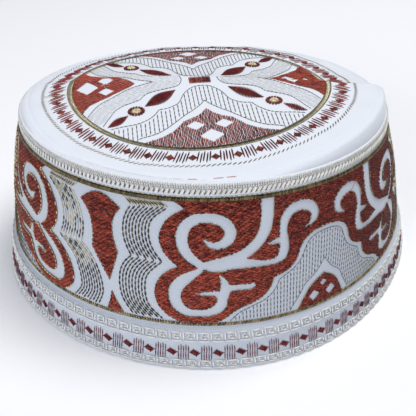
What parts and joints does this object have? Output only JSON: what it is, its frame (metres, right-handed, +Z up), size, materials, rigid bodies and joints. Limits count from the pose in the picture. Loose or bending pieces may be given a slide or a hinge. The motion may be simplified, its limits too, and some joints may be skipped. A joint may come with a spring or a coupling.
{
  "type": "prayer cap",
  "caption": "Round embroidered cotton prayer cap: a stiff drum with a flat folded crown, gold satin lines and a hem band, open below.",
  "frame": {"origin": "middle of the cap's footprint, on the surface that its hem stands on", "axes": "+Z up, from the hem to the crown; -Y towards the viewer of the picture, across the crown's fold; +X to the viewer's right, along the fold"},
  "size_m": [0.1896, 0.2006, 0.0817],
  "materials": {
    "white_cotton": "matt, stiffened plain weave",
    "gold_thread": "satin stitch of dark gold thread",
    "rope_thread": "slanted stitches of white and gold thread"
  },
  "bodies": {
    "root": {"crown_panel": "white_cotton", "side_wall": "white_cotton", "hem_band": "white_cotton", "top_gold_line": "gold_thread", "foot_gold_line": "gold_thread", "rope_line": "rope_thread", "crown_gold_ring": "gold_thread"}
  },
  "joints": []
}
